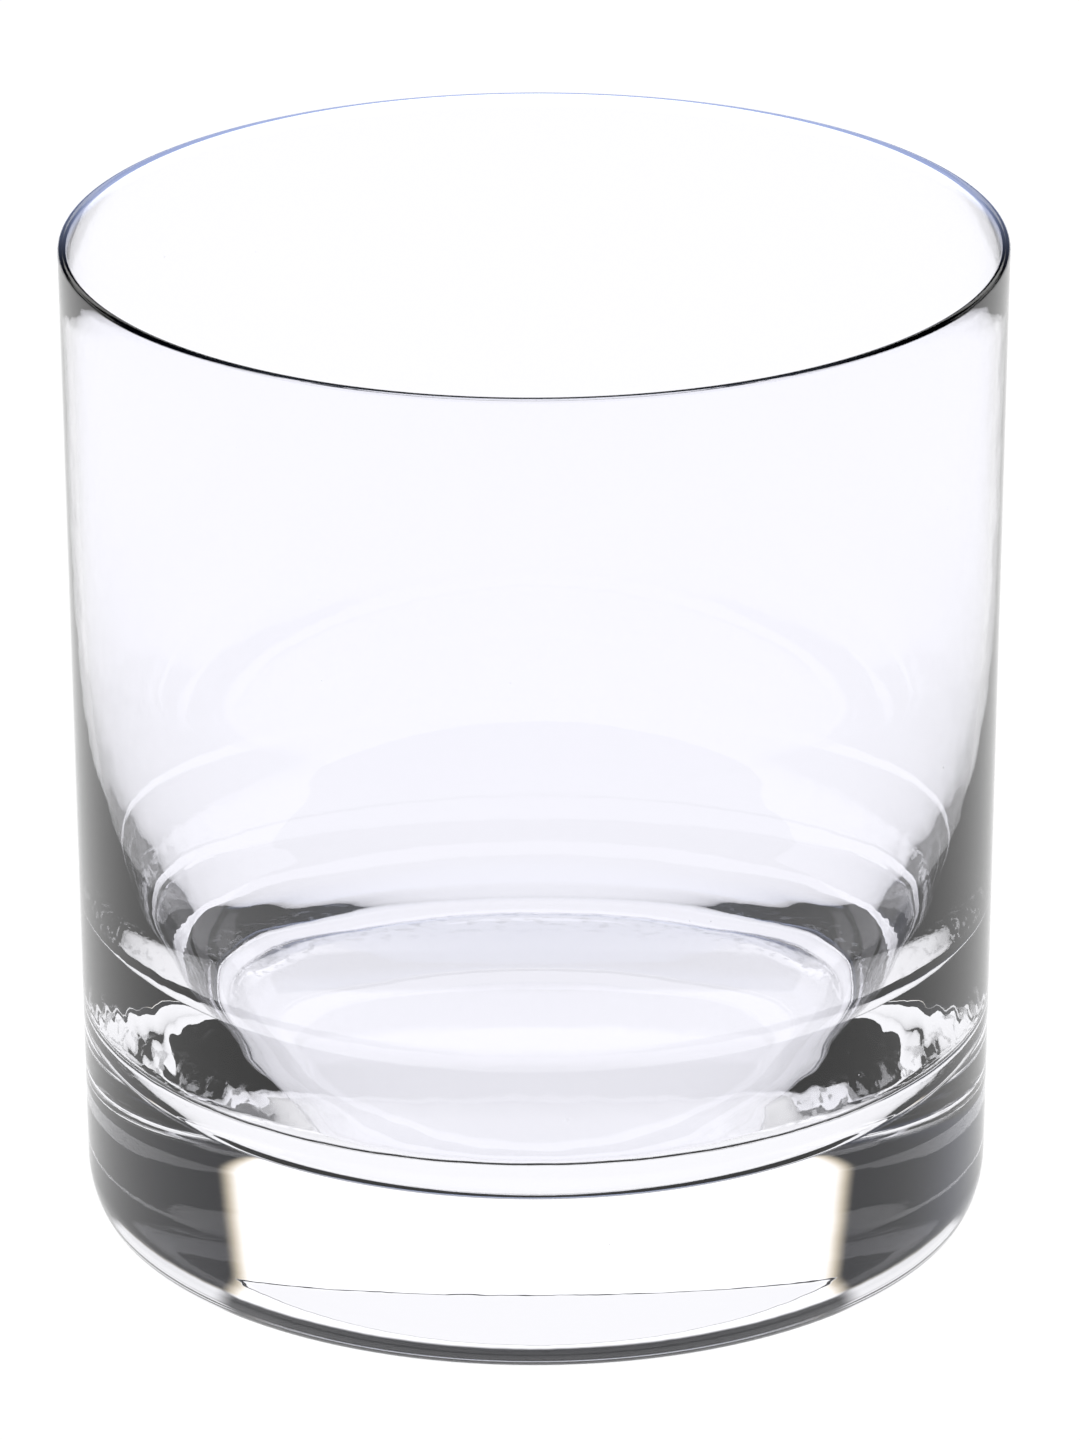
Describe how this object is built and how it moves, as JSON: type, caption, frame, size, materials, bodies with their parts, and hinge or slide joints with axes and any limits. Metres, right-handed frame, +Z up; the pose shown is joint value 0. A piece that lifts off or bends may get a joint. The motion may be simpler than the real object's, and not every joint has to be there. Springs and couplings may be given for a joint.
{
  "type": "whiskey tumbler",
  "caption": "Straight-sided clear glass tumbler with a thin rounded rim and a heavy solid base, for short drinks.",
  "frame": {"origin": "centre of the ring that the glass stands on, in its standing plane", "axes": "+Z up along the glass's axis, towards the rim; X and Y lie in the standing plane and are interchangeable"},
  "size_m": [0.085, 0.085, 0.0925],
  "materials": {
    "clear_glass": "polished, clear and nearly colourless"
  },
  "bodies": {
    "root": {"tumbler_glass": "clear_glass"}
  },
  "joints": []
}
